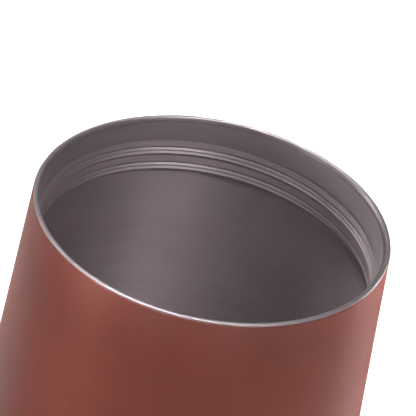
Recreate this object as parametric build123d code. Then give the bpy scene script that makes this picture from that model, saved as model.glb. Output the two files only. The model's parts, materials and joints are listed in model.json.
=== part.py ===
from build123d import *
import math
import os

# Double-wall vacuum growler, 64 US fl oz, with its screw lid standing beside it.
# Millimetres, +Z up. The origin is the centre of the vessel's base, on the surface it stands on.

# ---- vessel: driving dimensions ----
HEIGHT = 288.0            # base to rim
RIM_RADIUS = 40.0         # painted edge at the mouth
SIDE_TAPER = 0.074        # radius gained for each millimetre downwards
SHELL_WALL = 0.6
LINER_WALL = 0.6
RIM_WIDTH = 1.38          # bare rolled steel, measured across the rim
RIM_THICKNESS = 0.4
PAINT_EDGE = 0.16         # painted edge left outside the bare rim
RIM_CHAMFER = 0.47        # radial width of the rim's inner chamfer
CHAMFER_DEPTH = 1.2

# ---- mouth: smooth neck, internal thread and the step below it ----
NECK_RADIUS = RIM_RADIUS - PAINT_EDGE - RIM_WIDTH
NECK_DEPTH = 4.2          # rim to the end of the smooth round neck
NECK_TAPER_DEPTH = 6.0    # rim to where the wall has narrowed to the thread's root
THREAD_ROOT_RADIUS = 38.05
THREAD_CREST_RADIUS = 37.35
THREAD_PITCH = 4.2
THREAD_TURNS = 1.75
THREAD_LOW_Z = HEIGHT - 13.4    # height of the ridge where the thread starts
RIDGE_EMBED = 0.65        # how far a thread's ridge is rooted in its wall
THREAD_START_ANGLE = -45.0
THREAD_ZONE_DEPTH = 14.5  # rim to the bottom of the thread's wall
STEP_DEPTH = 15.0         # rim to the top of the plain inner wall
NECK_WALL = 0.7
CHAMBER_TOP_RADIUS = 38.65

# ---- vessel: bottoms, vacuum gap and base ----
LINER_BOTTOM_Z = 14.0
LINER_LOW_RADIUS = 56.0   # inside the chamber, at its bottom corner
DISH_RISE = 3.0           # the pressed bottoms rise towards the centre
DOME_SHARE = 0.82         # part of a bottom's radius that is domed
SHELL_BOTTOM_Z = 5.0
SHELL_LOW_Z = 2.0
SEAL_HOLE_RADIUS = 1.6
FOIL_THICKNESS = 0.15
FOIL_GAP = 0.4
FOIL_LOW_Z = 40.0
FOIL_HIGH_Z = 245.0
GETTER_RADIUS = 5.0
GETTER_THICKNESS = 1.6
GETTER_OFFSET = 24.0
CLIP_SHEET = 0.3
COVER_SHEET = 0.8
COVER_Z = 1.6
COVER_RADIUS = 58.8
PAD_RADIUS = 50.0
PAD_GROOVES = (30.0, 36.0, 42.0)

# ---- lid: stands on the same surface, beside the vessel ----
LID_X = -124.0
PLUG_LENGTH = 15.0        # flange down to the plug's foot
PLUG_CORE_RADIUS = 37.1
PLUG_THREAD_RADIUS = 37.85
PLUG_WALL = 1.8
PLUG_FOOT_RADIUS = 36.2
PLUG_THREAD_TURNS = 1.5
PLUG_THREAD_LOW_Z = 3.2
FLANGE_RADIUS = 41.0
FLANGE_THICKNESS = 2.4
GASKET_SECTION = 1.9
CAP_RADIUS = 41.6
CAP_HEIGHT = 19.0
CAP_WALL = 2.2
RIB_COUNT = 48
RIB_DEPTH = 0.7
RIB_WIDTH = 2.2
FOAM_GAP = 0.2
FOOT_DISC_RADIUS = 31.0
FOOT_DISC_SHEET = 0.8
PLATE_RADIUS = 29.0
PLATE_SHEET = 0.8
SCREW_CIRCLE_RADIUS = 24.0
SCREW_COUNT = 3
SCREW_HEAD_RADIUS = 2.6
SCREW_HEAD_HEIGHT = 1.5
SCREW_SHANK_RADIUS = 1.2
SCREW_LENGTH = 5.0

# ---- lid: folding bail handle on two pins along X ----
LUG_RADIUS = 6.0
LUG_REACH = 43.6          # lid axis to the lug's outer face
PIVOT_ABOVE_FLANGE = 10.0
PIN_RADIUS = 2.0
PIN_CLEARANCE = 0.06
PIN_HEAD_RADIUS = 4.0
PIN_HEAD_THICKNESS = 1.4
PIN_DEPTH = 6.0           # pin length inside the cap's lug
WASHER_RADIUS = 4.6
WASHER_THICKNESS = 0.6
SIDE_PLAY = 0.12
BAIL_THICKNESS = 2.4
BAIL_WIDTH = 9.0
BAIL_LEG = 14.0           # pivot to the start of the bail's bend
GRIP_ANGLE = 74.0         # span of the moulded grip round the bend
GRIP_WALL = 1.6
STOP_GAP = 0.35           # stop block to the folded bail
STOP_REACH = 46.0
STOP_HEIGHT = 2.4
STOP_LENGTH = 4.0
STOP_OFFSET = 6.6


def turned(points):
    """Solid of revolution about Z from a closed outline of (radius, height) points."""
    outline = Polyline(*points, close=True)
    return revolve(make_face(Plane.XZ * outline), Axis.Z)


def disc(radius, low, high):
    """Plain round slab about Z between two heights."""
    return Pos(0, 0, low) * extrude(Circle(radius), high - low)


def ring(inner, outer, low, high):
    """Flat washer about Z between two heights."""
    return Pos(0, 0, low) * extrude(Circle(outer) - Circle(inner), high - low)


def shell_radius(z):
    """Outside radius of the painted cone at a height."""
    return RIM_RADIUS + SIDE_TAPER * (HEIGHT - z)


def chamber_radius(z):
    """Inside radius of the liner below the thread at a height."""
    top = HEIGHT - STEP_DEPTH
    share = (top - z) / (top - LINER_BOTTOM_Z)
    return CHAMBER_TOP_RADIUS + share * (LINER_LOW_RADIUS - CHAMBER_TOP_RADIUS)


def ridge_segment(root, crest, pitch, turns):
    """Stretch of right-hand ridge on a cylinder of radius root, out to radius crest."""
    side = 1 if crest > root else -1
    embed = root - side * RIDGE_EMBED
    base_half = 0.42 * pitch
    crest_half = 0.10 * pitch
    path = Helix(pitch, pitch * turns, root)
    section_plane = Plane(origin=path @ 0, x_dir=(1, 0, 0), z_dir=path % 0)
    section = Polygon(
        (embed - root, -base_half),
        (crest - root, -crest_half),
        (crest - root, crest_half),
        (embed - root, base_half),
        align=None,
    )
    return sweep(section_plane * section, path, is_frenet=True)


def with_thread(wall, root, crest, low_z, pitch, turns, start_angle):
    """Add a helical ridge to a wall, in two end-to-end segments of under one turn each."""
    segment_turns = turns / 2
    segment = ridge_segment(root, crest, pitch, segment_turns)
    for index in range(2):
        rise = low_z + index * pitch * segment_turns
        turn = start_angle + index * 360 * segment_turns
        wall += Pos(0, 0, rise) * Rot(0, 0, turn) * segment
    return wall


# ---------------------------------------------------------------- vessel

def make_liner_wall():
    """Rim, neck, rolled thread and inner wall, one drawn steel piece."""
    top = HEIGHT
    lip_radius = RIM_RADIUS - PAINT_EDGE
    shell_inside = RIM_RADIUS - SHELL_WALL
    zone_low = top - THREAD_ZONE_DEPTH
    step = top - STEP_DEPTH
    wall = turned([
        (NECK_RADIUS, top - CHAMFER_DEPTH),
        (NECK_RADIUS + RIM_CHAMFER, top),
        (lip_radius - 0.12, top),
        (lip_radius, top - 0.12),
        (lip_radius, top - RIM_THICKNESS),
        (shell_inside, top - RIM_THICKNESS),
        (NECK_RADIUS + NECK_WALL, top - 2.2),
        (NECK_RADIUS + NECK_WALL, zone_low),
        (CHAMBER_TOP_RADIUS + LINER_WALL, step),
        (LINER_LOW_RADIUS + LINER_WALL, LINER_BOTTOM_Z),
        (LINER_LOW_RADIUS, LINER_BOTTOM_Z),
        (CHAMBER_TOP_RADIUS, step),
        (THREAD_ROOT_RADIUS, zone_low),
        (THREAD_ROOT_RADIUS, top - NECK_TAPER_DEPTH),
        (NECK_RADIUS, top - NECK_DEPTH),
    ])
    return with_thread(
        wall, THREAD_ROOT_RADIUS, THREAD_CREST_RADIUS, THREAD_LOW_Z,
        THREAD_PITCH, THREAD_TURNS, THREAD_START_ANGLE,
    )


def dome_height(flat, rise, radius):
    """Height of a shallow spherical dome above its edge, at a radius inside it."""
    sphere = (flat * flat + rise * rise) / (2 * rise)
    return math.sqrt(sphere * sphere - radius * radius) - (sphere - rise)


def dished_disc(radius, edge_z, rise, sheet):
    """Round pressing with a flat edge and a shallow dome in the middle."""
    flat = radius * DOME_SHARE
    middle = (flat / 2, edge_z + dome_height(flat, rise, flat / 2))
    under = ThreePointArc((0, edge_z + rise), middle, (flat, edge_z))
    edge = Polyline((flat, edge_z), (radius, edge_z), (radius, edge_z + sheet), (flat, edge_z + sheet))
    over = ThreePointArc((flat, edge_z + sheet), (middle[0], middle[1] + sheet), (0, edge_z + rise + sheet))
    axis = Line((0, edge_z + rise + sheet), (0, edge_z + rise))
    outline = under + edge + over + axis
    return revolve(make_face(Plane.XZ * outline), Axis.Z)


def make_liner_bottom():
    """Dished bottom of the drinking chamber, welded under the liner wall."""
    return dished_disc(LINER_LOW_RADIUS + LINER_WALL, LINER_BOTTOM_Z - LINER_WALL, DISH_RISE, LINER_WALL)


def make_outer_shell():
    """Painted cone, straight from the rim to the base."""
    top = HEIGHT - RIM_THICKNESS
    return turned([
        (RIM_RADIUS - SHELL_WALL, top),
        (RIM_RADIUS, top),
        (shell_radius(SHELL_LOW_Z + 1.2), SHELL_LOW_Z + 1.2),
        (shell_radius(SHELL_LOW_Z) - 1.0, SHELL_LOW_Z),
        (shell_radius(SHELL_LOW_Z) - 1.0 - SHELL_WALL, SHELL_LOW_Z),
        (shell_radius(SHELL_LOW_Z + 1.2) - SHELL_WALL, SHELL_LOW_Z + 1.2),
    ])


def make_shell_bottom():
    """Pressed bottom of the outer shell, with the evacuation hole in its centre."""
    radius = shell_radius(SHELL_BOTTOM_Z + SHELL_WALL) - SHELL_WALL
    pressing = dished_disc(radius, SHELL_BOTTOM_Z, DISH_RISE, SHELL_WALL)
    return pressing - disc(SEAL_HOLE_RADIUS, SHELL_BOTTOM_Z, SHELL_BOTTOM_Z + 2 * DISH_RISE)


def make_vacuum_seal():
    """Glass-solder bead that closes the evacuation hole from below."""
    hole_top = SHELL_BOTTOM_Z + DISH_RISE + SHELL_WALL
    return disc(SEAL_HOLE_RADIUS, hole_top - SHELL_WALL - 1.0, hole_top)


def make_copper_foil():
    """Heat shield wrapped round the liner inside the vacuum gap."""
    outside = LINER_WALL + FOIL_GAP
    low = chamber_radius(FOIL_LOW_Z) + outside
    high = chamber_radius(FOIL_HIGH_Z) + outside
    return turned([
        (low, FOIL_LOW_Z),
        (low + FOIL_THICKNESS, FOIL_LOW_Z),
        (high + FOIL_THICKNESS, FOIL_HIGH_Z),
        (high, FOIL_HIGH_Z),
    ])


def getter_seat_z():
    """Height of the shell bottom's upper face beside the getter, clear of its dome."""
    return SHELL_BOTTOM_Z + DISH_RISE + SHELL_WALL


def make_getter_tablet():
    """Gas-absorbing tablet inside the vacuum gap."""
    seat = getter_seat_z()
    return Pos(GETTER_OFFSET, 0, 0) * disc(GETTER_RADIUS, seat, seat + GETTER_THICKNESS)


def make_getter_clip():
    """Spring-steel cradle, spot-welded to the shell bottom, that holds the tablet."""
    seat = getter_seat_z()
    floor = seat - CLIP_SHEET
    cradle = disc(GETTER_RADIUS + CLIP_SHEET, floor, seat + 0.6 * GETTER_THICKNESS)
    cradle -= disc(GETTER_RADIUS, seat, seat + GETTER_THICKNESS)
    foot = disc(GETTER_RADIUS * 0.4, SHELL_BOTTOM_Z, floor)
    clip = Pos(GETTER_OFFSET, 0, 0) * (cradle + foot) - make_shell_bottom()
    return clip.solids().sort_by(Axis.Z)[-1]


def make_base_cover():
    """Bare steel pan that closes the base; its upturned rim meets the shell bottom."""
    return turned([
        (0, COVER_Z),
        (COVER_RADIUS - 1.2, COVER_Z),
        (COVER_RADIUS, COVER_Z + 1.2),
        (COVER_RADIUS, SHELL_BOTTOM_Z),
        (COVER_RADIUS - COVER_SHEET, SHELL_BOTTOM_Z),
        (COVER_RADIUS - COVER_SHEET, COVER_Z + 1.5),
        (COVER_RADIUS - 1.5, COVER_Z + COVER_SHEET),
        (0, COVER_Z + COVER_SHEET),
    ])


def make_base_pad():
    """Rubber pad under the base cover, with shallow grooves: the face the vessel stands on."""
    chamfer = 0.5
    pad = turned([
        (0, 0),
        (PAD_RADIUS - chamfer, 0),
        (PAD_RADIUS, chamfer),
        (PAD_RADIUS, COVER_Z),
        (0, COVER_Z),
    ])
    for radius in PAD_GROOVES:
        pad -= ring(radius, radius + 1.0, 0, 0.5)
    return pad


# ---------------------------------------------------------------- lid
# Every lid piece is built about Z with the plug's foot at height 0, then moved to LID_X.

FLANGE_Z = PLUG_LENGTH
CAP_LOW_Z = FLANGE_Z + FLANGE_THICKNESS
CAP_TOP_Z = CAP_LOW_Z + CAP_HEIGHT
PIVOT_Z = FLANGE_Z + PIVOT_ABOVE_FLANGE


def make_lid_plug():
    """Threaded plug: a cup open upwards, closed below by the foot disc's seat."""
    cup = turned([
        (PLUG_FOOT_RADIUS - 1.0, 0),
        (PLUG_FOOT_RADIUS, 1.0),
        (PLUG_CORE_RADIUS, 2.2),
        (PLUG_CORE_RADIUS, FLANGE_Z - GASKET_SECTION),
        (PLUG_CORE_RADIUS - 0.9, FLANGE_Z - GASKET_SECTION),
        (PLUG_CORE_RADIUS - 0.9, FLANGE_Z),
        (FLANGE_RADIUS, FLANGE_Z),
        (FLANGE_RADIUS, CAP_LOW_Z),
        (PLUG_CORE_RADIUS - PLUG_WALL, CAP_LOW_Z),
        (PLUG_CORE_RADIUS - PLUG_WALL, 2.0),
        (FOOT_DISC_RADIUS - 2.0, 2.0),
        (FOOT_DISC_RADIUS - 2.0, 0.8),
        (FOOT_DISC_RADIUS, 0.8),
        (FOOT_DISC_RADIUS, 0),
    ])
    return with_thread(
        cup, PLUG_CORE_RADIUS, PLUG_THREAD_RADIUS, PLUG_THREAD_LOW_Z,
        THREAD_PITCH, PLUG_THREAD_TURNS, 0.0,
    )


def make_lid_gasket():
    """Silicone ring under the flange that meets the rim's chamfer."""
    inner = PLUG_CORE_RADIUS - 0.9
    return turned([
        (inner, FLANGE_Z - GASKET_SECTION),
        (inner + 0.9, FLANGE_Z - GASKET_SECTION),
        (inner + GASKET_SECTION, FLANGE_Z - 0.7),
        (inner + GASKET_SECTION, FLANGE_Z),
        (inner, FLANGE_Z),
    ])


def make_lid_foot_disc():
    """Steel disc set into the plug's underside."""
    return disc(FOOT_DISC_RADIUS, 0, FOOT_DISC_SHEET)


def make_lid_foam():
    """Insulating foam block inside the plug and the cap, below the screw bosses."""
    radius = PLUG_CORE_RADIUS - PLUG_WALL - FOAM_GAP
    return disc(radius, 2.0 + FOAM_GAP, CAP_TOP_Z - PLATE_SHEET - SCREW_LENGTH - FOAM_GAP)


def stop_blocks():
    """Blocks on the cap, one each side of each lug, that the folded bail rests on."""
    blocks = Part()
    drop = PIVOT_Z - BAIL_WIDTH / 2 - STOP_GAP - STOP_HEIGHT / 2
    for side in (-1, 1):
        for end in (-1, 1):
            middle = (STOP_REACH + CAP_RADIUS - 3.0) / 2
            blocks += Pos(side * middle, end * STOP_OFFSET, drop) * Box(
                STOP_REACH - CAP_RADIUS + 3.0, STOP_LENGTH, STOP_HEIGHT)
    return blocks


def along_x(side, shape):
    """Turn a piece built up the +Z axis so that it points out along side times X, at the pivot."""
    return Pos(0, 0, PIVOT_Z) * Rot(0, side * 90, 0) * shape


def make_lid_cap():
    """Outer cap with grip ribs, pivot lugs and the seats for the top plate's screws."""
    cap = turned([
        (CAP_RADIUS - CAP_WALL, CAP_LOW_Z),
        (CAP_RADIUS, CAP_LOW_Z),
        (CAP_RADIUS, CAP_TOP_Z - 2.0),
        (CAP_RADIUS - 2.0, CAP_TOP_Z),
        (PLATE_RADIUS + 0.2, CAP_TOP_Z),
        (PLATE_RADIUS + 0.2, CAP_TOP_Z - PLATE_SHEET),
        (0, CAP_TOP_Z - PLATE_SHEET),
        (0, CAP_TOP_Z - CAP_WALL),
        (CAP_RADIUS - CAP_WALL, CAP_TOP_Z - CAP_WALL),
    ])
    rib = Pos(CAP_RADIUS, 0, CAP_LOW_Z + CAP_HEIGHT / 2 - 0.5) * Box(
        2 * RIB_DEPTH, RIB_WIDTH, CAP_HEIGHT - 5.0)
    for index in range(RIB_COUNT):
        angle = index * 360 / RIB_COUNT
        if abs(math.cos(math.radians(angle))) < 0.93:
            cap += Rot(0, 0, angle) * rib
    for side in (-1, 1):
        cap += along_x(side, disc(LUG_RADIUS, CAP_RADIUS - 6.0, LUG_REACH))
    cap += stop_blocks()
    for side in (-1, 1):
        cap -= along_x(side, disc(PIN_RADIUS, LUG_REACH - PIN_DEPTH, LUG_REACH + 1.0))
    for index in range(SCREW_COUNT):
        boss = disc(SCREW_SHANK_RADIUS + 1.4, CAP_TOP_Z - PLATE_SHEET - SCREW_LENGTH,
                    CAP_TOP_Z - PLATE_SHEET)
        boss -= disc(SCREW_SHANK_RADIUS, CAP_TOP_Z - PLATE_SHEET - SCREW_LENGTH + 1.0,
                     CAP_TOP_Z - PLATE_SHEET)
        place = Rot(0, 0, 90 + index * 360 / SCREW_COUNT) * Pos(SCREW_CIRCLE_RADIUS, 0, 0)
        cap -= place * disc(SCREW_SHANK_RADIUS, CAP_TOP_Z - CAP_WALL - 1.0, CAP_TOP_Z)
        cap += place * boss
    return cap


def make_lid_top_plate():
    """Brushed steel disc set into the top of the cap."""
    plate = disc(PLATE_RADIUS, CAP_TOP_Z - PLATE_SHEET, CAP_TOP_Z)
    for index in range(SCREW_COUNT):
        place = Rot(0, 0, 90 + index * 360 / SCREW_COUNT) * Pos(SCREW_CIRCLE_RADIUS, 0, 0)
        plate -= place * disc(SCREW_SHANK_RADIUS, CAP_TOP_Z - PLATE_SHEET, CAP_TOP_Z)
    return plate


def make_plate_screws():
    """Small button-head screws that hold the top plate."""
    screws = []
    for index in range(SCREW_COUNT):
        head_low = CAP_TOP_Z
        shank = disc(SCREW_SHANK_RADIUS, CAP_TOP_Z - PLATE_SHEET - SCREW_LENGTH + 1.0, head_low)
        head = turned([
            (0, head_low),
            (SCREW_HEAD_RADIUS, head_low),
            (SCREW_HEAD_RADIUS, head_low + SCREW_HEAD_HEIGHT * 0.4),
            (SCREW_HEAD_RADIUS * 0.7, head_low + SCREW_HEAD_HEIGHT),
            (0, head_low + SCREW_HEAD_HEIGHT),
        ])
        socket = Pos(0, 0, head_low + SCREW_HEAD_HEIGHT * 0.35) * extrude(
            RegularPolygon(1.1, 6), SCREW_HEAD_HEIGHT)
        place = Rot(0, 0, 90 + index * 360 / SCREW_COUNT) * Pos(SCREW_CIRCLE_RADIUS, 0, 0)
        screws.append(place * (shank + head - socket))
    return Compound(children=screws)


def make_handle_pins():
    """Two headed pins pressed into the lugs; the bail turns on them."""
    leg_out = LUG_REACH + WASHER_THICKNESS + 2 * SIDE_PLAY + BAIL_THICKNESS
    head_low = leg_out + SIDE_PLAY
    pin = disc(PIN_RADIUS, LUG_REACH - PIN_DEPTH, head_low)
    pin += disc(PIN_HEAD_RADIUS, head_low, head_low + PIN_HEAD_THICKNESS)
    return Compound(children=[along_x(side, pin) for side in (-1, 1)])


def make_pivot_washers():
    """Nylon washers on the pins, between the lugs and the bail."""
    low = LUG_REACH
    washer = ring(PIN_RADIUS, WASHER_RADIUS, low, low + WASHER_THICKNESS)
    return Compound(children=[along_x(side, washer) for side in (-1, 1)])


LEG_IN = LUG_REACH + WASHER_THICKNESS + SIDE_PLAY
BEND_RADIUS = LEG_IN + BAIL_THICKNESS / 2


def make_bail():
    """Flat steel handle, folded down towards -Y: two legs and a half-round bend."""
    outer = BEND_RADIUS + BAIL_THICKNESS / 2
    inner = BEND_RADIUS - BAIL_THICKNESS / 2
    bend = Pos(0, -BAIL_LEG, 0) * (Circle(outer) - Circle(inner))
    bend -= Pos(0, 2 * outer - BAIL_LEG, 0) * Rectangle(4 * outer, 4 * outer)
    strip = bend
    for side in (-1, 1):
        strip += Pos(side * BEND_RADIUS, -BAIL_LEG / 2, 0) * Rectangle(BAIL_THICKNESS, BAIL_LEG)
    bail = Pos(0, 0, PIVOT_Z - BAIL_WIDTH / 2) * extrude(strip, BAIL_WIDTH)
    for side in (-1, 1):
        bail += along_x(side, disc(BAIL_WIDTH / 2, LEG_IN, LEG_IN + BAIL_THICKNESS))
        bail -= along_x(side, disc(PIN_RADIUS + PIN_CLEARANCE, LEG_IN - 1, LEG_IN + BAIL_THICKNESS + 1))
    return bail


def make_bail_grip():
    """Moulded grip over the middle of the bail's bend."""
    outer = BEND_RADIUS + BAIL_THICKNESS / 2 + GRIP_WALL
    inner = BEND_RADIUS - BAIL_THICKNESS / 2 - GRIP_WALL
    height = BAIL_WIDTH + 2 * GRIP_WALL
    half = math.radians(GRIP_ANGLE / 2)
    reach = 2 * outer
    wedge = make_face(Polyline((0, 0), (-reach * math.sin(half), -reach * math.cos(half)),
                               (reach * math.sin(half), -reach * math.cos(half)), close=True))
    sleeve = extrude((Circle(outer) - Circle(inner)) & wedge, height)
    slot = extrude(Circle(BEND_RADIUS + BAIL_THICKNESS / 2) - Circle(BEND_RADIUS - BAIL_THICKNESS / 2),
                   BAIL_WIDTH)
    sleeve -= Pos(0, 0, GRIP_WALL) * slot
    return Pos(0, -BAIL_LEG, PIVOT_Z - height / 2) * sleeve


VESSEL_NODES = {
    "liner_wall": make_liner_wall,
    "liner_bottom": make_liner_bottom,
    "outer_shell": make_outer_shell,
    "shell_bottom": make_shell_bottom,
    "vacuum_seal": make_vacuum_seal,
    "copper_foil": make_copper_foil,
    "getter_tablet": make_getter_tablet,
    "getter_clip": make_getter_clip,
    "base_cover": make_base_cover,
    "base_pad": make_base_pad,
}

LID_NODES = {
    "lid_plug": make_lid_plug,
    "lid_gasket": make_lid_gasket,
    "lid_foot_disc": make_lid_foot_disc,
    "lid_foam": make_lid_foam,
    "lid_cap": make_lid_cap,
    "lid_top_plate": make_lid_top_plate,
    "plate_screws": make_plate_screws,
    "handle_pins": make_handle_pins,
    "pivot_washers": make_pivot_washers,
    "bail": make_bail,
    "bail_grip": make_bail_grip,
}


os.makedirs("parts", exist_ok=True)
for name, make in VESSEL_NODES.items():
    export_step(make(), "parts/" + name + ".step")
for name, make in LID_NODES.items():
    export_step(Pos(LID_X, 0, 0) * make(), "parts/" + name + ".step")
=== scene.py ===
import json
import math

import bmesh
import bpy
from mathutils import Matrix, Vector


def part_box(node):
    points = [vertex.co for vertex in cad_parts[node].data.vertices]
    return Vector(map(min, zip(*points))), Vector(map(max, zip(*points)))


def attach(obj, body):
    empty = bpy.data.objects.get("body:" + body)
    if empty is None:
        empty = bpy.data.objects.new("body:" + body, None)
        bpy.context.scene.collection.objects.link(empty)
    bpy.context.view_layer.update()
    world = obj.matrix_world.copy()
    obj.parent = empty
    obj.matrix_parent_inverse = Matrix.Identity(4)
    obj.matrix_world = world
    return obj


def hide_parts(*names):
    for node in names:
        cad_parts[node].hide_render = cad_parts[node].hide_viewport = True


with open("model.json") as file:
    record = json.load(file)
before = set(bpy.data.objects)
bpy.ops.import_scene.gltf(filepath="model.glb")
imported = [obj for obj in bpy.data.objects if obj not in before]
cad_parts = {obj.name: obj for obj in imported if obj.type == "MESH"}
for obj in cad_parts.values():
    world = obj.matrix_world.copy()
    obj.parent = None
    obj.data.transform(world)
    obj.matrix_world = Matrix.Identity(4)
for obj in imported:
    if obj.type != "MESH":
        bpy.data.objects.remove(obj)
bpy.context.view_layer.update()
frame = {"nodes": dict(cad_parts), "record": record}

# A conical steel growler with its mouth open and its screw lid standing beside it.
# Metres throughout; sizes below are in millimetres times MM.
MM = 0.001

# ---- taken from the frame ----
MOUNTS = {mount["name"]: mount for mount in frame["record"]["mounts"]}
NECK_RADIUS = MOUNTS["mouth_neck"]["dims"]["r_mm"] * MM
LID_X = MOUNTS["lid_rest"]["pos_m"][0]
RIM_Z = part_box("liner_wall")[1][2]
LINER_LOW_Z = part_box("liner_wall")[0][2]
LINER_LOW_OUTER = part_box("liner_wall")[1][0]
SHELL_TOP_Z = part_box("outer_shell")[1][2]
SHELL_LOW_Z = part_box("outer_shell")[0][2]
SHELL_LOW_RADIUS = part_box("outer_shell")[1][0]
CAP_LOW_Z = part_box("lid_cap")[0][2]
CAP_TOP_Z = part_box("lid_cap")[1][2]
FLANGE_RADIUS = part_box("lid_plug")[1][1]
GASKET_LOW_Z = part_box("lid_gasket")[0][2]
GASKET_TOP_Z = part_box("lid_gasket")[1][2]
PIVOT_Z = (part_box("bail")[0][2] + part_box("bail")[1][2]) / 2
BAIL_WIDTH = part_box("bail")[1][2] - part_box("bail")[0][2]
GRIP_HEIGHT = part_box("bail_grip")[1][2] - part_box("bail_grip")[0][2]
PLATE_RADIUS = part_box("lid_top_plate")[1][1]
SCREW_TOP_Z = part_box("plate_screws")[1][2]
PIN_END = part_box("handle_pins")[1][0] - LID_X
PAD_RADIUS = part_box("base_pad")[1][0]
COVER_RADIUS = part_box("base_cover")[1][0]
COVER_LOW_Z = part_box("base_cover")[0][2]
COVER_TOP_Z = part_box("base_cover")[1][2]
FOOT_DISC_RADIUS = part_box("lid_foot_disc")[1][1]
FOOT_DISC_TOP_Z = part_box("lid_foot_disc")[1][2]

# ---- mouth ----
LIP_WIDTH = 1.38 * MM          # bare rolled steel
PAINT_EDGE = 0.16 * MM         # paint left outside the bare lip
RIM_RADIUS = NECK_RADIUS + LIP_WIDTH + PAINT_EDGE
LIP_STEP = RIM_Z - SHELL_TOP_Z
CHAMFER_WIDTH = 0.47 * MM
CHAMFER_DEPTH = 1.2 * MM
NECK_DEPTH = 6.2 * MM                   # smooth neck, narrowing evenly to the thread's root
ROOT_RADIUS = NECK_RADIUS - 0.41 * MM
THREAD_PITCH = 4.3 * MM
THREAD_TURNS = 1.8
THREAD_START_DEPTH = 12.3 * MM          # top edge of the ridge where the thread starts
THREAD_START_ANGLE = -45.0
THREAD_FADE = 0.07                      # part of a turn over which each end fades out
# the rolled ridge going down: (distance below its top edge, how far it stands in from the root)
RIDGE_PROFILE = (
    (-0.26 * MM, 0.00 * MM),
    (-0.04 * MM, -0.10 * MM),
    (1.30 * MM, 0.27 * MM),
    (1.44 * MM, 0.28 * MM),
    (1.92 * MM, -0.04 * MM),
    (2.45 * MM, 0.34 * MM),
    (2.78 * MM, 0.17 * MM),
    (3.32 * MM, 0.52 * MM),
    (3.44 * MM, 0.52 * MM),
    (4.04 * MM, 0.00 * MM),
)
STEP_TOP_DEPTH = 14.3 * MM
STEP_LOW_DEPTH = 15.0 * MM
CHAMBER_TOP_RADIUS = NECK_RADIUS + 0.19 * MM
LINER_WALL = 0.6 * MM
SHELL_CORNER_HEIGHT = 1.2 * MM
SHELL_CORNER_DEPTH = 1.0 * MM
SHELL_EDGE = 0.12 * MM
NECK_WALL = 0.7 * MM

# ---- lid ----
CAP_RADIUS = 41.6 * MM
CAP_WALL = 2.2 * MM
RIB_COUNT = 48
RIB_DEPTH = 0.68 * MM
RIB_WIDTH = 2.2 * MM
RIB_HEIGHT = 14.0 * MM
RIB_LIMIT = 0.93                        # ribs stop where |cos(angle)| passes this, at the lugs
PLUG_CORE_RADIUS = 37.1 * MM
PLUG_THREAD_HEIGHT = 0.75 * MM
PLUG_THREAD_TURNS = 1.5
PLUG_THREAD_PITCH = 4.2 * MM
PLUG_THREAD_LOW_Z = 3.2 * MM
PLUG_WALL = 1.8 * MM
LUG_RADIUS = 6.0 * MM
LUG_REACH = 43.6 * MM
STOP_REACH = 46.0 * MM
STOP_OFFSET = 6.6 * MM
STOP_SIZE = (7.4 * MM, 4.0 * MM, 2.4 * MM)
STOP_GAP = 0.35 * MM
PIN_RADIUS = 2.0 * MM
PIN_START = 37.6 * MM
PIN_HEAD_RADIUS = 4.0 * MM
PIN_HEAD_THICKNESS = 1.4 * MM
WASHER_RADIUS = 4.6 * MM
WASHER_THICKNESS = 0.6 * MM
BAIL_THICKNESS = 2.4 * MM
BAIL_LEG = 14.0 * MM
BAIL_HOLE_RADIUS = 2.06 * MM
BEND_RADIUS = 45.52 * MM
GRIP_WALL = 1.6 * MM
GRIP_ANGLE = math.radians(74.0)
GRIP_GROOVES = 11
GRIP_PLAIN_END = 0.12                   # share of the grip without grooves, at each end
GRIP_GROOVE_DEPTH = 0.45 * MM
SCREW_CIRCLE_RADIUS = 24.0 * MM
SCREW_COUNT = 3
SCREW_HEAD_RADIUS = 2.6 * MM
SCREW_SHANK_RADIUS = 1.2 * MM
SOCKET_RADIUS = 1.1 * MM
PAD_GROOVES = (30.0 * MM, 36.0 * MM, 42.0 * MM)

# ---- how many parts round shapes are divided into ----
LINER_SEGMENTS = 720
SHELL_SEGMENTS = 480
PLUG_SEGMENTS = 480
DISC_SEGMENTS = 240
GRIP_STATIONS = 320

# ---- camera ----
CAMERA_DISTANCE = 10.0 * RIM_RADIUS     # from the middle of the mouth
CAMERA_ELEVATION = 0.58515
CAMERA_PAN = 0.00358
CAMERA_TILT = 0.00145
CAMERA_ROLL = -0.21316
SENSOR = 36.0
FOCAL_WIDTHS = 4.36454                  # focal length in image widths

# ---- lights ----
AIM_Z = RIM_Z - 18 * MM
WORLD_LEVELS = ((0.06, 0.58), (0.28, 0.05))     # sine of the height above the horizon, brightness
# Soft boxes facing straight down round the object, mostly for the floor but also lighting the object:
# distance from the axis, height, size, spread in degrees, power of each
FLOOR_LIGHT_COUNT = 8
FLOOR_LIGHT_RINGS = ((2.0, 2.2, 1.4, 66.0, 10.0), (1.05, 1.4, 0.36, 36.0, 1.0))
FLOOR_HALF = 2.4
# Light on the floor behind the object: place, target, size, power, spread in degrees
BACKGROUND_LIGHT = ((0.0, 0.50, 1.25), (0.0, 0.47, 0.0), (0.4, 0.5), 2.1, 32.0)
# name, azimuth, elevation, distance, size, spread in degrees, power
STUDIO_LIGHTS = (
    ("right_back_low", 30, -8, 1.2, (0.24, 0.30), 70, 1.55),
    ("left_back_low", 160, 11, 1.3, (0.30, 0.20), 60, 0.20),
    ("left_front_low", 214, -4, 1.2, (0.24, 0.4), 70, 0.52),
    ("left_front_high", 225, 50, 1.4, (0.4, 0.4), 60, 0.12),
    ("right_front_high", 310, 52, 1.4, (0.3, 0.3), 50, 0.34),
    ("top_back_left", 110, 74, 1.5, (0.3, 0.3), 24, 0.30),
    ("top_left", 150, 68, 1.5, (0.3, 0.3), 24, 0.24),
)


# ---------------------------------------------------------------- mesh helpers
# A shape is a pair: its points and its faces.

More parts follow.
